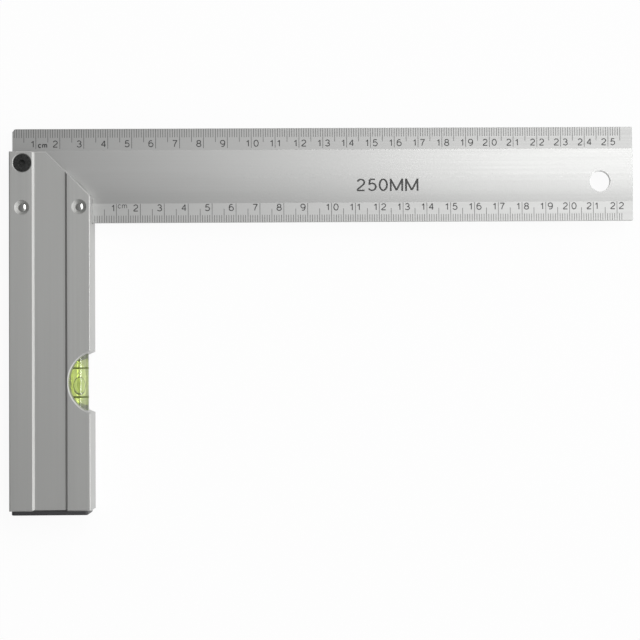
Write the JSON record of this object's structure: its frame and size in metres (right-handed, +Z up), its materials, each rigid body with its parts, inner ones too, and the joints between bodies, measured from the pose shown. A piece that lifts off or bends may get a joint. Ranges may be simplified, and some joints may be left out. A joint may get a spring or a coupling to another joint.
{
  "type": "carpenter square",
  "caption": "Try square with a ruled, crowned metal blade riveted into a thick mitred stock, a spirit vial in the stock's edge and a hanging hole at the blade's end.",
  "frame": {"origin": "inside corner of the square, at mid-thickness", "axes": "+X along the blade away from the stock, +Y from the blade's inner edge to its outer edge, +Z up, from the plain back to the ruled front"},
  "size_m": [0.2602, 0.1605, 0.018],
  "materials": {
    "stock_aluminium": "satin anodised, drawn along the bar",
    "blade_aluminium": "satin anodised, with a printed scale",
    "rivet_metal": "bright nickel plate",
    "screw_black": "black oxide",
    "cap_plastic": "black, lightly grained",
    "vial_clear": "clear moulded acrylic with two printed index rings",
    "vial_plug_plastic": "translucent plug",
    "vial_fluid": "yellow-green fluid",
    "stop_rubber": "soft pale rubber"
  },
  "bodies": {
    "root": {"stock": "stock_aluminium", "blade": "blade_aluminium", "rivet_outer": "rivet_metal", "rivet_inner": "rivet_metal", "squaring_screw": "screw_black", "end_cap": "cap_plastic", "vial_tube": "vial_clear", "vial_plug": "vial_plug_plastic", "vial_liquid": "vial_fluid", "vial_stop_upper": "stop_rubber", "vial_stop_lower": "stop_rubber"}
  },
  "joints": []
}
